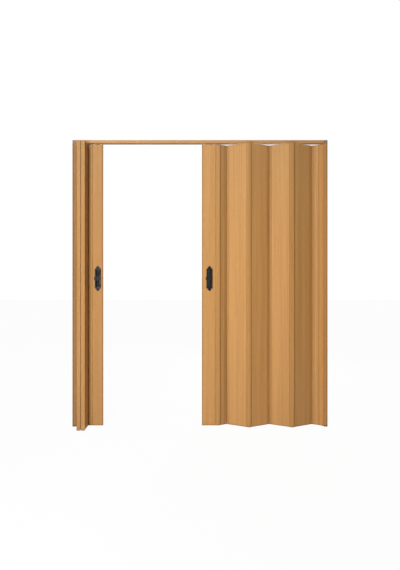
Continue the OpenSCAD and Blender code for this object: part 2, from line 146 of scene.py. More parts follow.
# %% A web of nodes, for a material or for the world
class Web:
    def __init__(self, tree):
        self.tree = tree

    def node(self, kind, settings=None, inputs=None, output=0):
        made = self.tree.nodes.new(kind)
        for name, value in (settings or {}).items():
            if name == "stops":
                self.set_stops(made.color_ramp, value)
            else:
                setattr(made, name, value)
        for key, value in (inputs or {}).items():
            self.feed(made.inputs[key], value)
        return Value(self, made.outputs[output]) if len(made.outputs) else None

    def set_stops(self, ramp, stops):
        while len(ramp.elements) < len(stops):
            ramp.elements.new(0.5)
        for element, (position, level) in zip(ramp.elements, stops):
            element.position = position
            element.color = (level, level, level, 1)

    def feed(self, socket, value):
        if isinstance(value, Value):
            self.tree.links.new(value.socket, socket)
        else:
            socket.default_value = value


print("a Web makes any node and feeds its sockets")

# %% A finish: one material with its shader, and the patterns that several finishes use
MIX_SHARE, MIX_FIRST, MIX_SECOND, MIX_RESULT = 0, 6, 7, 2
PATTERN_MIDDLE = 0.5        # noise and patches run from 0 to 1


def tint(colour, level=1.0):
    return (*(channel * level for channel in colour), 1.0)


class Finish(Web):
    def __init__(self, name):
        self.material = bpy.data.materials.new(name)
        self.material.use_nodes = True
        super().__init__(self.material.node_tree)
        self.shader = next(n for n in self.tree.nodes if n.type == "BSDF_PRINCIPLED")
        self.output = next(n for n in self.tree.nodes if n.type == "OUTPUT_MATERIAL")
        self.place = self.node("ShaderNodeTexCoord", output="Object")

    def surface(self, sockets):
        for name, value in sockets.items():
            self.feed(self.shader.inputs[name], value)

    def noise(self, cells, place=None, detail=2.0, roughness=0.5):
        """Noise with so many cells per metre along X, Y and Z."""
        mapped = self.node("ShaderNodeMapping", inputs={"Vector": place or self.place, "Scale": cells})
        return self.node("ShaderNodeTexNoise", inputs={
            "Vector": mapped, "Scale": 1.0, "Detail": detail, "Roughness": roughness})

    def along(self, vector, axis):
        return self.node("ShaderNodeSeparateXYZ", inputs={0: vector}, output=axis)

    def colour(self, red, green, blue):
        return self.node("ShaderNodeCombineColor", inputs={0: red, 1: green, 2: blue})

    def mix(self, share, first, second, mode="MIX"):
        return self.node("ShaderNodeMix", {"data_type": "RGBA", "blend_type": mode}, {
            MIX_SHARE: share, MIX_FIRST: first, MIX_SECOND: second}, output=MIX_RESULT)

    def times(self, first, second):
        return self.mix(1.0, first, second, mode="MULTIPLY")

    def toned(self, colour, tone):
        """A colour times a tone that changes over the surface."""
        return self.times(tint(colour), self.colour(tone, tone, tone))

    def bump(self, height, strength, depth):
        return self.node("ShaderNodeBump", inputs={"Height": height, "Strength": strength, "Distance": depth})


print("a Finish has noise, colours and bump")

# %% [markdown]
# ## Printed wood grain
#
# The slats, strips, posts, track and jambs are extruded plastic with a honey-coloured wood print and a light
# embossing that follows it. A picture of wood could be mapped on, but its seams would show at every fold.
# Noise stretched along the grain makes straight figure that runs through each piece with no seam: wide bands
# shift the tone, narrow streaks draw the figure, and short dark dashes are the pores. A slow sway keeps the
# lines from being ruler-straight. The track lies flat, so its grain runs along X and not along Z.

# %% Noise stretched along the grain
X_AXIS, Y_AXIS, Z_AXIS = 0, 1, 2
SWAY_CELLS = (3.0, 3.0, 1.1)
SWAY = 0.012
BANDS = {"across": 26.0, "lengthwise": 0.5, "detail": 1.0}
STREAKS = {"across": 150.0, "lengthwise": 1.6, "detail": 3.0, "roughness": 0.6}
FIBRES = {"across": 900.0, "lengthwise": 9.0, "detail": 2.0}
PORES = {"across": 1300.0, "lengthwise": 30.0, "detail": 0.0}
PORE_STOPS = [(0.62, 0.0), (0.72, 1.0)]


def swayed_place(finish, run):
    """The place on the piece, moved a little to and fro across the grain."""
    sway = (finish.noise(SWAY_CELLS, detail=1.0) - PATTERN_MIDDLE) * SWAY
    across_axes = [axis for axis in (X_AXIS, Y_AXIS, Z_AXIS) if axis != run]
    shift = finish.node("ShaderNodeCombineXYZ", inputs={axis: sway for axis in across_axes})
    return finish.node("ShaderNodeVectorMath", {"operation": "ADD"}, {0: finish.place, 1: shift})


def figure(finish, place, run, across, lengthwise, **settings):
    """Noise with many cells per metre across the grain, and few along it."""
    cells = [across] * 3
    cells[run] = lengthwise
    return finish.noise(tuple(cells), place, **settings)


def pores_of(finish, place, run):
    """1 in a pore and 0 beside it."""
    specks = figure(finish, place, run, **PORES)
    dashes = finish.node("ShaderNodeValToRGB", {"stops": PORE_STOPS}, {"Fac": specks})
    return finish.node("ShaderNodeRGBToBW", inputs={"Color": dashes})


print("cells per metre across the grain", [kind["across"] for kind in (BANDS, STREAKS, FIBRES, PORES)])

# %% [markdown]
# ## What darkens and pales the print
#
# The print is darker on the rails along each slat's edges and in a line at the foot. In the grooves beside the
# rails, and on the lips of posts and jambs, it is painted darker as painted shade. Towards both ends it is
# painted a little paler and bluer, as painted light on the tops and feet. Cut ends show the plain darker
# plastic under the print. The track's underside takes the same colour, as unprinted plastic and as painted
# shade under the track. Both are found by the direction of the surface's normal. All of this could be painted
# on by hand, but sums of height and normal fit every piece.

# %% Darker rails and foot, painted shade in grooves and lips and under the track, painted light at the ends, and plain plastic at the cut
# A groove's darkness, and a lip's extra share of the rail's darkness, are painted shade.
RAIL_TONE_AND_LIP_SHADE, GROOVE_PAINTED_SHADE, FOOT_DARKER = 0.12, 0.55, 0.45
FOOT_DARK_FROM, FOOT_DARK_TO = -2.087, -2.095
MIDDLE_DEPTH = 1.06
# Painted light: shares by which the print grows paler and bluer towards the top and the foot.
PAINTED_END_LIGHT_SHARES = ((0.02, 0.01), (0.06, 0.02), (0.18, 0.04))        # square and straight share, for red, green, blue
CUT_FACING = 0.7


def darker_rails_grooves_foot(finish, tone):
    """The tone, darker on a rail and at the foot, with painted shade in a groove and on a lip."""
    rail = finish.node("ShaderNodeAttribute", {"attribute_name": "rail"}, output="Fac")
    groove = finish.node("ShaderNodeAttribute", {"attribute_name": "groove"}, output="Fac")
    foot = finish.along(finish.place, Z_AXIS).ramp(FOOT_DARK_FROM, FOOT_DARK_TO)
    return tone * (1 - rail * RAIL_TONE_AND_LIP_SHADE) * (1 - groove * GROOVE_PAINTED_SHADE) * (1 - foot * FOOT_DARKER)


def painted_end_light(finish):
    """Painted light: a colour to multiply by, paler and bluer towards both ends, each channel growing with the
    distance from the middle and with its square.
    """
    from_middle = finish.along(finish.place, Z_AXIS) + MIDDLE_DEPTH
    squared = from_middle * from_middle
    return finish.colour(*(squared * bowed + from_middle * straight + 1 for bowed, straight in PAINTED_END_LIGHT_SHARES))


def cut_ends_and_underside_shade(finish, run):
    """1 where the surface faces along the grain, and also on the underside of what lies flat, where it is
    painted shade as well.
    """
    normal = finish.node("ShaderNodeNewGeometry", output="Normal")
    endways = finish.along(normal, run)
    cut = endways.math("ABSOLUTE", endways).above(CUT_FACING)
    if run == Z_AXIS:
        return cut
    downwards = 0 - finish.along(normal, Z_AXIS)
    return cut.math("MAXIMUM", cut, downwards.above(CUT_FACING))


print("foot darkens from", FOOT_DARK_FROM, "to", FOOT_DARK_TO)

# %% Wood-grain finish in a given tone
BAND_TONE, STREAK_TONE, FIBRE_TONE, PORE_TONE = 0.22, 0.32, 0.14, 0.12
GREEN_FALL, BLUE_FALL = 1.3, 1.8        # a darker spot loses more green and blue than red
# Cut ends and the track's underside take this darker level. Under the track it is also painted shade.
CUT_PLASTIC_AND_UNDERSIDE_SHADE = 0.62
PRINT_ROUGHNESS, FIBRE_ROUGHNESS, STREAK_ROUGHNESS = 0.55, 0.25, 0.1
PORE_SINK = 0.8
EMBOSS_STRENGTH, EMBOSS_DEPTH = 0.35, 0.00025
PRINT_SPECULAR = 0.20


def wood_grain(name, colour, contrast, run):
    finish = Finish(name)
    place = swayed_place(finish, run)
    bands = figure(finish, place, run, **BANDS) - PATTERN_MIDDLE
    streaks = figure(finish, place, run, **STREAKS) - PATTERN_MIDDLE
    fibres = figure(finish, place, run, **FIBRES) - PATTERN_MIDDLE
    pores = pores_of(finish, place, run)
    tone = bands * (BAND_TONE * contrast) + streaks * (STREAK_TONE * contrast) + fibres * FIBRE_TONE
    tone = darker_rails_grooves_foot(finish, tone - pores * PORE_TONE + 1.0)
    shade = finish.colour(tone, tone.power(GREEN_FALL), tone.power(BLUE_FALL))
    # The print is multiplied by the painted light at both ends.
    print_and_painted_light = finish.times(finish.times(tint(colour), shade), painted_end_light(finish))
    finish.surface({
        "Base Color": finish.mix(cut_ends_and_underside_shade(finish, run), print_and_painted_light, tint(colour, CUT_PLASTIC_AND_UNDERSIDE_SHADE)),
        "Roughness": fibres * FIBRE_ROUGHNESS + streaks * STREAK_ROUGHNESS + PRINT_ROUGHNESS,
        "Normal": finish.bump(fibres - pores * PORE_SINK, EMBOSS_STRENGTH, EMBOSS_DEPTH),
        "Specular IOR Level": PRINT_SPECULAR})
    return finish.material


print("a print's roughness is about", PRINT_ROUGHNESS, "and a cut end's level of tone", CUT_PLASTIC_AND_UNDERSIDE_SHADE)

# %% [markdown]
# ## One print for each kind of piece, painted lighter or darker on some pieces for light and shade
#
# Slats, hinge strips and frame are printed in three tones of the same honey colour. The left leaf and some
# single pieces are painted a little lighter or darker. This is painted shade on the left leaf and the left
# jamb, painted light on the right jamb, its strip and the track, and painted shade on a half slat and a hinge
# strip of the right leaf. Each such level could be a material made by hand, but a table of levels says the same
# in a line, and each material is made only once. A print's row names its material, its colour and the contrast
# of its figure.

# %% The prints, and the pieces painted lighter or darker as painted light and shade
HONEY = (0.595, 0.305, 0.098)
BAND_HONEY = (0.540, 0.272, 0.084)
FRAME_HONEY = (0.497, 0.253, 0.088)
PRINTS = {"slat_wood_grain": ("slat_grain", HONEY, 1.0),
          "strip_wood_grain": ("strip_grain", BAND_HONEY, 1.0),
          "frame_wood_grain": ("frame_grain", FRAME_HONEY, 1.2)}
# Levels above 1 are painted light and levels below 1 are painted shade, for the light and shade that fall on
# these pieces.
PAINTED_LIGHT_LEVEL = {"jamb_left": 0.68, "jamb_right": 1.05, "jamb_strip_right": 1.25, "head_track": 1.1,
               "left_lead_post": 0.82, "right_half_slat_b": 0.84, "right_hinge_strip_5": 0.90}
# The whole left leaf is painted darker, as painted shade.
LEFT_PAINTED_SHADE = 0.88
FLAT_LYING = ("head_track",)
finishes = {}


def finish_of(node):
    """A node's finish. Each wood print is made once for a slot, a level of painted light or shade and a way of
    the grain.
    """
    slot = node_slot[node]
    if slot not in PRINTS:
        return finishes[slot]
    name, colour, contrast = PRINTS[slot]
    level = PAINTED_LIGHT_LEVEL.get(node, LEFT_PAINTED_SHADE if node.startswith("left_") else 1.0)
    run = X_AXIS if node in FLAT_LYING else Z_AXIS
    key = (slot, level, run)
    if key not in finishes:
        # Each level makes a lit or shaded copy of the same print.
        painted_copy = f"{name}_{'XYZ'[run]}_{level:.2f}"
        finishes[key] = wood_grain(painted_copy, tint(colour, level)[:3], contrast, run)
    return finishes[key]


print("wood prints", sorted(PRINTS), "with", len(PAINTED_LIGHT_LEVEL), "nodes lighter or darker")

# %% [markdown]
# ## Moulded plastics and metal
#
# The handles are satin black plastic with a fine moulded texture, the gliders are natural nylon, the corner
# blocks are grey-brown plastic, and the bolts and screws are zinc-plated steel. Each is one shader whose
# roughness and bump come from noise at the size that the real texture has: a few tenths of a millimetre on
# moulded plastic, and crystal patches of some millimetres on zinc.

# %% Moulded plastic finish
CLOUD_CELLS = (60.0, 60.0, 60.0)
CLOUD_ROUGHNESS, SKIN_ROUGHNESS = 0.12, 0.15
SKIN_STRENGTH = 0.4


def moulded(name, colour, roughness, cells, depth, mottle=0.10, specular=0.5):
    """Plastic with a moulded skin of so many cells per metre and such a depth."""
    finish = Finish(name)
    clouds = finish.noise(CLOUD_CELLS) - PATTERN_MIDDLE
    skin = finish.noise((cells, cells, cells)) - PATTERN_MIDDLE
    finish.surface({
        "Base Color": finish.toned(colour, clouds * mottle + skin * mottle + 1.0),
        "Roughness": clouds * CLOUD_ROUGHNESS + skin * SKIN_ROUGHNESS + roughness,
        "Normal": finish.bump(skin, SKIN_STRENGTH, depth),
        "Specular IOR Level": specular})
    return finish.material


finishes["handle_black"] = moulded("satin_black", (0.0035, 0.0037, 0.0043), roughness=0.29, cells=1800.0,
                                   depth=0.00005, mottle=0.5, specular=0.26)
finishes["nylon"] = moulded("natural_nylon", (0.74, 0.72, 0.66), roughness=0.46, cells=900.0, depth=0.00008)
finishes["corner_plastic"] = moulded("corner_brown", (0.235, 0.165, 0.105), roughness=0.50, cells=1400.0,
                                     depth=0.00015, mottle=0.2)
print("moulded finishes", sorted(finishes))

# %% Zinc-plated steel finish
ZINC = (0.55, 0.56, 0.58)
PATCH_CELLS = (280.0, 280.0, 280.0)
DRAWN_CELLS = (60.0, 900.0, 900.0)
PATCH_TONE, DRAWN_TONE = 0.16, 0.12
ZINC_ROUGHNESS, ZINC_SPREAD = 0.36, 0.14
DRAWN_STRENGTH, DRAWN_DEPTH = 0.25, 0.00005


def zinc_steel(name):
    """Crystal patches over the fine lines of drawn steel."""
    finish = Finish(name)
    crystals = finish.node("ShaderNodeTexVoronoi", {"feature": "F1"}, {
        "Vector": finish.node("ShaderNodeMapping", inputs={"Vector": finish.place, "Scale": PATCH_CELLS}),
        "Scale": 1.0}, output="Color")
    patch = finish.node("ShaderNodeRGBToBW", inputs={"Color": crystals}) - PATTERN_MIDDLE
    drawn = finish.noise(DRAWN_CELLS) - PATTERN_MIDDLE
    finish.surface({
        "Base Color": finish.toned(ZINC, patch * PATCH_TONE + drawn * DRAWN_TONE + 1.0),
        "Roughness": patch * ZINC_SPREAD + drawn * ZINC_SPREAD + ZINC_ROUGHNESS,
        "Normal": finish.bump(drawn, DRAWN_STRENGTH, DRAWN_DEPTH),
        "Metallic": 1.0})
    return finish.material


finishes["zinc_steel"] = zinc_steel("zinc_plated")
print("with zinc", sorted(finishes))

# %% [markdown]
# ## Pieces with soft edges
#
# A real extrusion has no knife edges: each corner of its outline is rounded by a few tenths of a millimetre,
# and that rounding catches the light along two metres of slat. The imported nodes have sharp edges. They could
# be modelled again, but their outlines already are right, so each is copied, its loose triangles are joined
# and cleaned to flat faces, and a Bevel modifier rounds the corners. The copy then replaces the node. The
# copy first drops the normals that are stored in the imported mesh, because new faces would bend them and shade
# a flat slat as if it were hollow.

# %% Copy a node, join its faces and round its corners
SAME_POINT = 1e-6
SAME_FACE = math.radians(0.4)
CORNER_ABOVE = math.radians(40)
ROUND_SEGMENTS = 2
SMOOTH_BELOW = math.radians(20)


def select_only(piece):
    bpy.ops.object.select_all(action="DESELECT")
    piece.select_set(True)
    bpy.context.view_layer.objects.active = piece


def free_copy(node, name):
    """A copy of a node's mesh at the origin, with no material and no stored normals."""
    piece = bpy.data.objects.new(name, frame["nodes"][node].data.copy())
    bpy.context.scene.collection.objects.link(piece)
    piece.data.materials.clear()
    select_only(piece)
    bpy.ops.mesh.customdata_custom_splitnormals_clear()
    return piece


def join_faces(piece):
    bpy.ops.object.mode_set(mode="EDIT")
    bpy.ops.mesh.select_all(action="SELECT")
    bpy.ops.mesh.remove_doubles(threshold=SAME_POINT)
    bpy.ops.mesh.dissolve_limited(angle_limit=SAME_FACE)
    bpy.ops.object.mode_set(mode="OBJECT")


def round_edges(piece, width):
    bevel = piece.modifiers.new("round_edges", "BEVEL")
    bevel.width = width
    bevel.segments = ROUND_SEGMENTS
    bevel.limit_method = "ANGLE"
    bevel.angle_limit = CORNER_ABOVE
    bevel.use_clamp_overlap = True
    bpy.ops.object.modifier_apply(modifier=bevel.name)


def smooth_curves(piece, below=SMOOTH_BELOW):
    """Smooth shading on curved faces only, so that flat fields stay flat up to their edges."""
    select_only(piece)
    bpy.ops.object.shade_smooth_by_angle(angle=below)


def hand_over(piece, node):
    """The piece takes a node's finish, body and place in the model."""
    piece.data.materials.clear()
    piece.data.materials.append(finish_of(node))
    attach(piece, node_body[node])
    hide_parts(node)


print("corners above", round(math.degrees(CORNER_ABOVE)), "degrees are rounded")

# %% [markdown]
# ## Rails along the edges
#
# On the real slat a shallow V-groove parts the flat field from the rail that carries the hook, and the rail's
# print is a little darker, so each fold reads as a band. The posts have such a lip at the meeting edge, and the
# jambs one on both sides. A lip is painted twice as dark as a rail, as painted shade along those edges. The
# groove could be a bump in the finish, but it breaks the outline at both ends, so it is cut into the mesh:
# three planes bisect the piece, and the middle line's points move inwards. Two attributes then tell the finish
# where rail and groove are, and a groove is painted darker as painted shade.

# %% Choose points, edges or faces by a test
KINDS = {"VERT": "vertices", "EDGE": "edges", "FACE": "polygons"}


def choose(piece, kind, test):
    """Leaves the piece in edit mode with only what passes the test selected, and says how many do."""
    select_only(piece)
    bpy.context.tool_settings.mesh_select_mode = [kind == mode for mode in KINDS]
    bpy.ops.object.mode_set(mode="EDIT")
    bpy.ops.mesh.select_all(action="DESELECT")
    bpy.ops.object.mode_set(mode="OBJECT")
    chosen = [element for element in getattr(piece.data, KINDS[kind]) if test(element)]
    for element in chosen:
        element.select = True
    count = len(chosen)
    bpy.ops.object.mode_set(mode="EDIT")
    return count


print("choose works on", sorted(KINDS))

# %% Cut the grooves and mark the rails
RAIL_WIDTH = 0.0165
LIP_WIDTH = 0.006
# A lip is painted darker than a rail, as painted shade along the edges of posts and jambs.
LIP_PAINTED_SHADE = 2.0        # twice as much darker as a slat's rail
GROOVE_HALF = 0.0011
GROOVE_DEPTH = 0.0007
ON_LINE = GROOVE_HALF / 4
FACE_REACH = 0.0003
UPRIGHT = 0.1
UP = Vector((0, 0, 1))
FRONT = Vector((0, -1, 0))
LIPS = {"left_lead_post": (0, LIP_WIDTH), "right_lead_post": (LIP_WIDTH, 0),
        "jamb_left": (LIP_WIDTH, LIP_WIDTH), "jamb_right": (LIP_WIDTH, LIP_WIDTH)}


def cut_across(piece, place, direction):
    select_only(piece)
    bpy.ops.object.mode_set(mode="EDIT")
    bpy.ops.mesh.select_all(action="SELECT")
    bpy.ops.mesh.bisect(plane_co=place, plane_no=direction)
    bpy.ops.object.mode_set(mode="OBJECT")


def field_direction(piece):
    """The direction that a slat's broad field faces."""
    upright = [face for face in piece.data.polygons if abs(face.normal.z) < UPRIGHT]
    return max(upright, key=lambda face: face.area).normal.copy()


def mark(piece, name, values):
    """Gives each point a number that the finish reads by this name."""
    piece.data.attributes.new(name, "FLOAT", "POINT").data.foreach_set("value", values)


def add_rails(piece, outward_way, from_left, from_right, darkness=1.0):
    """Cuts a groove in both faces at a distance from each edge, 0 for none, and marks what is outside."""
    width_way = UP.cross(outward_way)
    through = [point.co.dot(outward_way) for point in piece.data.vertices]
    wide = [point.co.dot(width_way) for point in piece.data.vertices]
    left, right = min(wide) + from_left, max(wide) - from_right
    grooves = [place for place, width in ((left, from_left), (right, from_right)) if width]

    def on_groove(place):
        return min(abs(place - groove) for groove in grooves) < ON_LINE

    def on_rail(place):
        return ((from_left > 0 and place < left + GROOVE_HALF / 2)
                or (from_right > 0 and place > right - GROOVE_HALF / 2))

    for groove in grooves:
        for step in (-GROOVE_HALF, 0.0, GROOVE_HALF):
            cut_across(piece, width_way * (groove + step), width_way)
    for face, depth in ((max(through), -GROOVE_DEPTH), (min(through), GROOVE_DEPTH)):
        choose(piece, "VERT", lambda point: abs(point.co.dot(outward_way) - face) < FACE_REACH
               and on_groove(point.co.dot(width_way)))
        bpy.ops.transform.translate(value=outward_way * depth)
        bpy.ops.object.mode_set(mode="OBJECT")
    places = [point.co.dot(width_way) for point in piece.data.vertices]
    # On a lip the rail mark is doubled, which paints shade along the edge.
    mark(piece, "rail", [darkness * on_rail(place) for place in places])
    mark(piece, "groove", [float(on_groove(place)) for place in places])


print("grooves", GROOVE_DEPTH, "deep, and on a slat", RAIL_WIDTH, "from each edge")

# %% Dress every piece but the handles and screws
EDGE_ROUND = {"slat_wood_grain": 0.0004, "strip_wood_grain": 0.0004, "frame_wood_grain": 0.0005,
              "corner_plastic": 0.0008, "nylon": 0.0006, "zinc_steel": 0.0004}
HARDWARE = ("handle", "thumb", "screws")
plain_nodes = [node for node in sorted(frame["nodes"]) if not any(word in node for word in HARDWARE)]
for node in plain_nodes:
    piece = free_copy(node, node + "_skin")
    join_faces(piece)
    round_edges(piece, EDGE_ROUND[node_slot[node]])
    if "slat" in node:
        add_rails(piece, field_direction(piece), RAIL_WIDTH, RAIL_WIDTH)
    elif node in LIPS:
        # Lips on posts and jambs are darkened as painted shade.
        add_rails(piece, FRONT, *LIPS[node], darkness=LIP_PAINTED_SHADE)
    smooth_curves(piece)
    hand_over(piece, node)

# %% Give every node under the copies the same finish
for node, thing in frame["nodes"].items():
    thing.data.materials.clear()
    thing.data.materials.append(finish_of(node))
print("finishes made", len(finishes))

# %% [markdown]
# ## Handle plates
#
# Each leaf has a black moulded escutcheon on both faces of its lead post: a plate with four ears, a finial
# at each end and two half-round grips. A moulding like this has a raised border and soft edges. It could be
# modelled from a drawing of its outline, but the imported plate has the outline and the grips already, so a
# copy of it is taken, its face is inset twice to leave the border standing, except under the thumb slide, and
# its edges are rounded. One plate is modelled, and the other three are copies of it, moved or turned.

# %% Shape the face of one plate
PLATE_NODE = "right_handle_front"
PLATE_BORDER = 0.0017
BORDER_RISE = 0.0007
UNDER_PAD = 0.011        # above and below the middle, where the slide covers the plate
MOULDED_ROUND = 0.0007
FINIAL_REACH = 0.003
SQUARE_ON = 0.99
SAME_PLANE = 0.0002


def faces_front(face, y):
    return face.normal.y < -SQUARE_ON and abs(face.center.y - y) < SAME_PLANE


def model_plate(face_y):
    """A plate whose face has a raised border above and below the thumb slide."""
    low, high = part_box(PLATE_NODE)
    middle = (low.z + high.z) / 2
    plate = free_copy(PLATE_NODE, PLATE_NODE + "_skin")
    join_faces(plate)
    for side in (-1, 1):
        choose(plate, "FACE", lambda face: faces_front(face, face_y))
        bpy.ops.mesh.bisect(plane_co=(0, 0, middle + side * UNDER_PAD), plane_no=UP)
        bpy.ops.object.mode_set(mode="OBJECT")
    count = choose(plate, "FACE", lambda face: faces_front(face, face_y)
                   and abs(face.center.z - middle) > UNDER_PAD)
    bpy.ops.mesh.quads_convert_to_tris()
    bpy.ops.mesh.inset(thickness=PLATE_BORDER, depth=0.0)
    bpy.ops.mesh.inset(thickness=BORDER_RISE, depth=-BORDER_RISE)
    bpy.ops.object.mode_set(mode="OBJECT")
    round_edges(plate, MOULDED_ROUND)
    smooth_curves(plate)
    print("plate face at", round(face_y, 4), "from", count, "faces, now", len(plate.data.polygons))
    return plate


finial_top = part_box(PLATE_NODE)[0].z + FINIAL_REACH
plate_points = frame["nodes"][PLATE_NODE].data.vertices
plate_face = min(point.co.y for point in plate_points if point.co.z < finial_top)
plate = model_plate(plate_face)

# %% [markdown]
# ## Thumb slides
#
# A thumb slide moves the bolt: its pad covers the plate's middle and its tab reaches past the plate's side.
# A bare block would read as one, so its corners are rounded in outline, its face is dished, and five ridges
# stand in the dish for the thumb. The ridges could be separate bars, but the floor of the dish is bisected
# instead and every other strip is raised, so the pad stays one closed shape.

# %% Round the corners of one pad
PAD_CORNER = 0.005
CORNER_SEGMENTS = 5
AT_CORNER = 1e-4
LEAST_RUN = 0.001


def round_pad_corners(piece, low, high):
    """Rounds the pad's four corner edges, which run from front to back."""
    def at_corner(point):
        return (min(abs(point.x - low.x), abs(point.x - high.x)) < AT_CORNER
                and min(abs(point.z - low.z), abs(point.z - high.z)) < AT_CORNER)

    def is_corner_edge(edge):
        start, end = (piece.data.vertices[number].co for number in edge.vertices)
        return at_corner(start) and at_corner(end) and abs(start.y - end.y) > LEAST_RUN

    count = choose(piece, "EDGE", is_corner_edge)
    bpy.ops.mesh.bevel(offset=PAD_CORNER, segments=CORNER_SEGMENTS, affect="EDGES")
    bpy.ops.object.mode_set(mode="OBJECT")
    print("pad with", count, "rounded corners")


slide_node = "right_thumb_slide_front"
slide_low, slide_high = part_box(slide_node)
slide = free_copy(slide_node, slide_node + "_skin")
join_faces(slide)
round_pad_corners(slide, slide_low, slide_high)

# %% Dish the pad and raise the ridges in it
DISH_BORDER = 0.0022
DISH_DEPTH = 0.0009
RIDGE_PITCH = 0.0064
RIDGE_WIDTH = 0.0030
RIDGES = (-2, -1, 0, 1, 2)

choose(slide, "FACE", lambda face: faces_front(face, slide_low.y))
bpy.ops.mesh.inset(thickness=DISH_BORDER, depth=0.0)
bpy.ops.mesh.inset(thickness=DISH_DEPTH, depth=-DISH_DEPTH)
bpy.ops.object.mode_set(mode="OBJECT")
dish_floor = slide_low.y + DISH_DEPTH
ridge_places = [(slide_low.x + slide_high.x) / 2 + number * RIDGE_PITCH for number in RIDGES]
for ridge in ridge_places:
    for side in (-1, 1):
        choose(slide, "FACE", lambda face: faces_front(face, dish_floor))
        bpy.ops.mesh.bisect(plane_co=(ridge + side * RIDGE_WIDTH / 2, 0, 0), plane_no=(1, 0, 0))
        bpy.ops.object.mode_set(mode="OBJECT")
raised = choose(slide, "FACE", lambda face: faces_front(face, dish_floor)
                and min(abs(face.center.x - ridge) for ridge in ridge_places) < RIDGE_WIDTH / 4)
bpy.ops.mesh.inset(use_individual=True, thickness=DISH_DEPTH / 2, depth=DISH_DEPTH)
bpy.ops.object.mode_set(mode="OBJECT")
round_edges(slide, MOULDED_ROUND / 2)
smooth_curves(slide)
print("thumb slide with", raised, "ridges,", len(slide.data.polygons), "faces")

# %% [markdown]
# ## Screws
#
# Two screws clamp each pair of plates through the post, and four small ones hold the corner blocks under the
# track. Only their domed heads show. One screw is modelled upright at the origin: a cylinder whose end face
# is inset and moved out in steps to a dome, with a cross cut into it by a Boolean, and every other screw is
# a copy of it, scaled and turned into place.

# %% Model one domed, cross-cut head
HEAD_SIDES = 40
DOME_RISE = 0.0007
DOME_STEPS = ((0.16, 0.45), (0.22, 0.33), (0.26, 0.22))        # share of the radius, and of the rise
CROSS_WIDTH = 0.0008
CROSS_DEPTH = 0.0013
CROSS_REACH = 1.15
SAME_HEIGHT = 1e-5


def cylinder(name, sides, radius, low, high):
    """An upright cylinder between two heights, around the Z axis."""
    bpy.ops.object.select_all(action="DESELECT")
    bpy.ops.mesh.primitive_cylinder_add(vertices=sides, radius=radius, depth=high - low,
                                        location=(0, 0, (low + high) / 2))
    made = bpy.context.object
    made.name = name
    bpy.ops.object.transform_apply(location=True, rotation=True, scale=True)
    return made


def cut_slot(head, radius, thickness, turn):
    """Cuts one bar of the cross into the top of the head."""
    bpy.ops.object.select_all(action="DESELECT")
    bpy.ops.mesh.primitive_cube_add(size=1.0, location=(0, 0, thickness))
    bar = bpy.context.object
    bar.scale = (radius * CROSS_REACH, CROSS_WIDTH, CROSS_DEPTH * 2)
    bar.rotation_euler = (0, 0, math.radians(turn))
    bpy.ops.object.transform_apply(location=True, rotation=True, scale=True)
    select_only(head)
    cut = head.modifiers.new("cross", "BOOLEAN")
    cut.object = bar
    cut.operation = "DIFFERENCE"
    bpy.ops.object.modifier_apply(modifier=cut.name)
    bpy.data.objects.remove(bar)


def domed_head(name, radius, thickness):
    """A screw head that stands on Z = 0 and faces +Z, within its thickness."""
    rim = thickness - DOME_RISE
    head = cylinder(name, HEAD_SIDES, radius, 0.0, rim)
    choose(head, "FACE", lambda face: face.normal.z > SQUARE_ON and abs(face.center.z - rim) < SAME_HEIGHT)
    for inward, out in DOME_STEPS:
        bpy.ops.mesh.inset(thickness=radius * inward, depth=DOME_RISE * out)
    bpy.ops.object.mode_set(mode="OBJECT")
    for turn in (0, 90):
        cut_slot(head, radius, thickness, turn)
    return head


screw_low, screw_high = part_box("right_handle_screws")
head_r = (screw_high.x - screw_low.x) / 2
head_t = plate_face - screw_low.y
head = domed_head("screw_head", head_r, head_t)
print("screw head radius", round(head_r, 5), "thickness", round(head_t, 5), "faces", len(head.data.polygons))

# %% Join two heads to a shank
HEAD_RATIO = 1.8        # a head's radius over its shank's
SHANK_SIDES = 32
SHANK_LAP = 0.0002
SCREW_SMOOTH_BELOW = math.radians(35)
OVER = Matrix.Rotation(math.radians(180), 4, "X")


def copy_to(piece, name, matrix):
    twin = bpy.data.objects.new(name, piece.data.copy())
    twin.data.transform(matrix)
    bpy.context.scene.collection.objects.link(twin)
    return twin


def joined(name, parts):
    bpy.ops.object.select_all(action="DESELECT")
    for part in parts:
        part.select_set(True)
    bpy.context.view_layer.objects.active = parts[0]
    bpy.ops.object.join()
    parts[0].name = name
    smooth_curves(parts[0], SCREW_SMOOTH_BELOW)
    return parts[0]


half_long = -plate_face
upper = copy_to(head, "upper_head", Matrix.Translation((0, 0, half_long)))
lower = copy_to(head, "lower_head", OVER @ Matrix.Translation((0, 0, half_long)))
rod = cylinder("screw_shank", SHANK_SIDES, head_r / HEAD_RATIO, -half_long - SHANK_LAP, half_long + SHANK_LAP)
screw = joined("handle_screw", [rod, upper, lower])
print("screw", round(2 * (half_long + head_t), 4), "long,", len(screw.data.polygons), "faces")

# %% Place the plates, slides and screws on both leaves
HALF_TURN = Matrix.Rotation(math.radians(180), 4, "Z")
LAID_DOWN = Matrix.Rotation(math.radians(90), 4, "X")


def centre_x(node):
    low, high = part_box(node)
    return (low.x + high.x) / 2


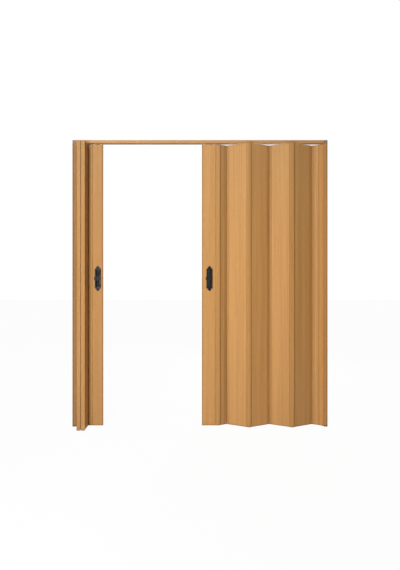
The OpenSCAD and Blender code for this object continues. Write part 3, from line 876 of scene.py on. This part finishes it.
home_x = centre_x(PLATE_NODE)
for side in ("left", "right"):
    x = centre_x(side + "_handle_front")
    to_front = Matrix.Translation((x - home_x, 0, 0))
    to_back = Matrix.Translation((x, 0, 0)) @ HALF_TURN @ Matrix.Translation((-home_x, 0, 0))
    for place, matrix in (("front", to_front), ("back", to_back)):
        hand_over(copy_to(plate, f"{side}_plate_{place}", matrix), f"{side}_handle_{place}")
        hand_over(copy_to(slide, f"{side}_slide_{place}", matrix), f"{side}_thumb_slide_{place}")
    low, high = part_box(side + "_handle_screws")
    pair = [copy_to(screw, f"{side}_screw_{end}", Matrix.Translation((x, 0, z)) @ LAID_DOWN)
            for end, z in (("top", high.z - head_r), ("foot", low.z + head_r))]
    hand_over(joined(side + "_plate_screws", pair), side + "_handle_screws")
    print(side, "plates, slides and screws at x", round(x, 4))

# %% Place the small screws under the corner blocks
low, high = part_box("corner_screws")
rear = [point.co.y for point in frame["nodes"]["corner_screws"].data.vertices if point.co.y > 0]
prong_y = (min(rear) + max(rear)) / 2
small_r = (max(rear) - min(rear)) / 2
smaller = small_r / head_r
shank_top = (high.z - low.z) / smaller - head_t
head_down = copy_to(head, "corner_head", OVER)
corner_rod = cylinder("corner_shank", SHANK_SIDES, head_r / HEAD_RATIO, 0.0, shank_top)
corner_screw = joined("corner_screw", [corner_rod, head_down])
seats = [(x, y, low.z + head_t * smaller) for x in (low.x + small_r, high.x - small_r)
         for y in (-prong_y, prong_y)]
seated = [Matrix.Translation(seat) @ Matrix.Scale(smaller, 4) for seat in seats]
corner_parts = [copy_to(corner_screw, "corner_screw_part", matrix) for matrix in seated]
hand_over(joined("corner_screws_skin", corner_parts), "corner_screws")
for spare in (plate, slide, head, screw, corner_screw):
    bpy.data.objects.remove(spare)
print(len(seats), "corner screws, each", round(smaller, 3), "times a handle screw")

# %% [markdown]
# ## Light, floor and background
#
# The photograph is a studio cut-out. The right leaf's left-facing slats are bright and the others dark, more
# so further right, while the left leaf shows hardly a shadow, so the light stands close, in front of the left
# leaf, and is as tall as the door. One tall lamp would be mirrored in the black handle, which the photograph
# shows dark, so two lamps stand above and below the handle's height. A third lamp lights the back, hidden
# behind the right leaf, and a pale, slightly warm world fills the shade. The white all round comes from the
# world and the floor as the camera and mirrored rays see them, not from more light.

# %% Two soft lamps in front of the left leaf, and one behind the right
LAMP_WIDTH = 0.6
LAMPS = {"high_lamp": {"at": (-1.1, -2.5, 0.20), "tall": 1.7, "watts": 48.0, "aim": (0.1, 0.0, -0.75)},
         "low_lamp": {"at": (-1.1, -2.5, -1.75), "tall": 0.7, "watts": 28.0, "aim": (0.1, 0.0, -1.35)},
         "back_lamp": {"at": (0.95, 2.6, -0.50), "tall": 1.6, "watts": 48.0, "aim": (0.0, 0.0, -1.05)}}

for name, lamp_set in LAMPS.items():
    lamp_data = bpy.data.lights.new(name, "AREA")
    lamp_data.shape = "RECTANGLE"
    lamp_data.size = LAMP_WIDTH
    lamp_data.size_y = lamp_set["tall"]
    lamp_data.energy = lamp_set["watts"]
    lamp = bpy.data.objects.new(name, lamp_data)
    lamp.location = lamp_set["at"]
    way = Vector(lamp_set["aim"]) - lamp.location
    lamp.rotation_mode = "QUATERNION"
    lamp.rotation_quaternion = way.to_track_quat("-Z", "Y")
    bpy.context.scene.collection.objects.link(lamp)
    print(name, lamp_set["watts"], "W,", round(way.length, 2), "m away")

# %% Pale world, white to the camera
WHITE = (1.0, 1.0, 1.0, 1.0)
FILL_COLOUR = (1.0, 0.91, 0.76, 1.0)
FILL_STRENGTH = 0.14


def white_rays(web):
    """1 for the camera's rays and for those that a piece mirrors or lets through, which see plain white."""
    seen = web.node("ShaderNodeLightPath", output="Is Camera Ray")
    for kind in ("Is Glossy Ray", "Is Transmission Ray"):
        seen = seen.math("MAXIMUM", seen, web.node("ShaderNodeLightPath", output=kind))
    return seen


world = bpy.data.worlds.new("studio")
bpy.context.scene.world = world
world.use_nodes = True
sky = Web(world.node_tree)
sky.tree.nodes.clear()
fill = sky.node("ShaderNodeBackground", inputs={"Color": FILL_COLOUR, "Strength": FILL_STRENGTH})
white = sky.node("ShaderNodeBackground", inputs={"Color": WHITE, "Strength": 1.0})
studio = sky.node("ShaderNodeMixShader", inputs={0: white_rays(sky), 1: fill, 2: white})
sky.node("ShaderNodeOutputWorld", inputs={"Surface": studio})
print("world fill", FILL_STRENGTH, "with", len(sky.tree.nodes), "nodes")

# %% Pale floor that keeps the door's shadow
FLOOR_Z = cad_box[0].z
FLOOR_GAP = 0.0005
FLOOR_SIZE = 30.0
FLOOR_TONE, FLOOR_MOTTLE = 0.93, 0.02
FLOOR_ROUGHNESS = 0.7
SPECKLE_CELLS = (9.0, 9.0, 9.0)
WHITE_SHARE = 0.965


def pale_floor():
    finish = Finish("pale_floor")
    tone = (finish.noise(SPECKLE_CELLS, detail=3.0) - PATTERN_MIDDLE) * FLOOR_MOTTLE + FLOOR_TONE
    finish.surface({"Base Color": finish.colour(tone, tone, tone), "Roughness": FLOOR_ROUGHNESS})
    glow = finish.node("ShaderNodeEmission", inputs={"Color": WHITE, "Strength": 1.0})
    lit = Value(finish, finish.shader.outputs[0])
    mixed = finish.node("ShaderNodeMixShader", inputs={0: white_rays(finish) * WHITE_SHARE, 1: lit, 2: glow})
    finish.feed(finish.output.inputs["Surface"], mixed)
    return finish.material


bpy.ops.mesh.primitive_plane_add(size=1.0, location=(0.0, 0.0, FLOOR_Z - FLOOR_GAP))
floor = bpy.context.object
floor.name = "floor"
floor.scale = (FLOOR_SIZE, FLOOR_SIZE, 1.0)
floor.data.materials.append(pale_floor())
print("floor at", round(FLOOR_Z, 4))
